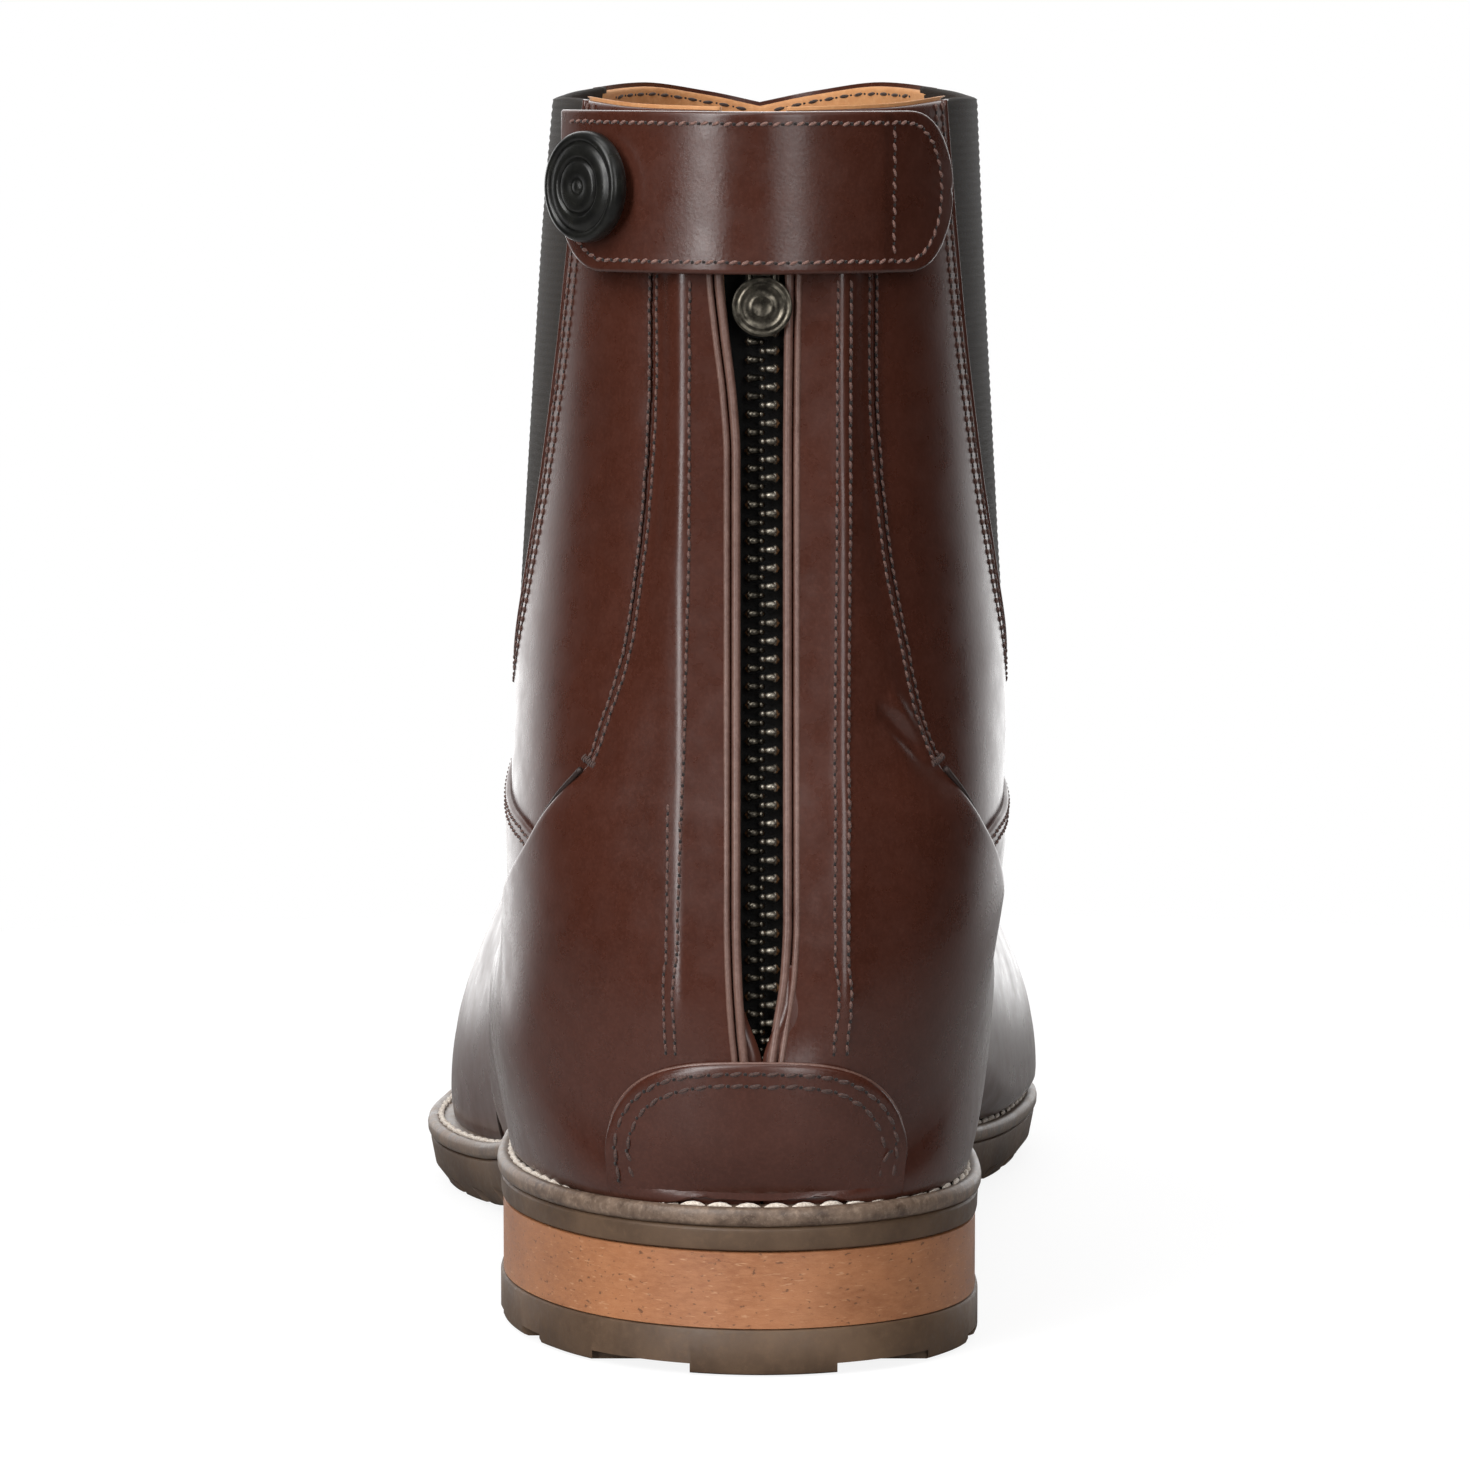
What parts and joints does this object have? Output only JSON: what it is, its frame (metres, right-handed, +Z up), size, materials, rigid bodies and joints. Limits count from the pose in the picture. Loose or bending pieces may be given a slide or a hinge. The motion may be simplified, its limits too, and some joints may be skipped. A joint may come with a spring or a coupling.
{
  "type": "jodhpur_boot",
  "caption": "Left jodhpur boot in dark red-brown leather, with a back zip under a snap strap, elastic side gores, a stitched welt and a stacked heel on a lugged rubber sole",
  "frame": {"origin": "on the floor under the middle of the heel's tread", "axes": "+Y to the toe, +X to the medial side, +Z up"},
  "size_m": [0.1054, 0.2892, 0.186],
  "materials": {
    "leather": "waxed, soft sheen",
    "elastic": "ribbed woven elastic",
    "black_metal": "black, satin",
    "zip_cloth": "woven tape",
    "antique_metal": "darkened, worn bright on the edges",
    "insole_leather": "plain tan",
    "welt_leather": "mottled bronze brown",
    "rubber": "matt dark brown",
    "heel_board": "pressed fibre layers, stained orange-brown"
  },
  "bodies": {
    "boot": {"upper": "leather", "gore_lateral": "elastic", "gore_medial": "elastic", "quarter_lateral": "leather", "quarter_medial": "leather", "heel_counter": "leather", "strap": "leather", "snap_cap": "black_metal", "zip_tape": "zip_cloth", "zip_chain": "antique_metal", "zip_slider": "antique_metal", "insole": "insole_leather", "welt": "welt_leather", "outsole": "rubber", "heel_stack": "heel_board", "heel_lift": "rubber"},
    "zip_pull": {"zip_pull": "antique_metal"}
  },
  "joints": [
    {"name": "zip_pull_swing", "type": "hinge", "parent": "boot", "child": "zip_pull", "pos_m": [0, -0.02518, 0.15937], "axis": [-1, 0, 0], "range_deg": [0, 55]}
  ]
}
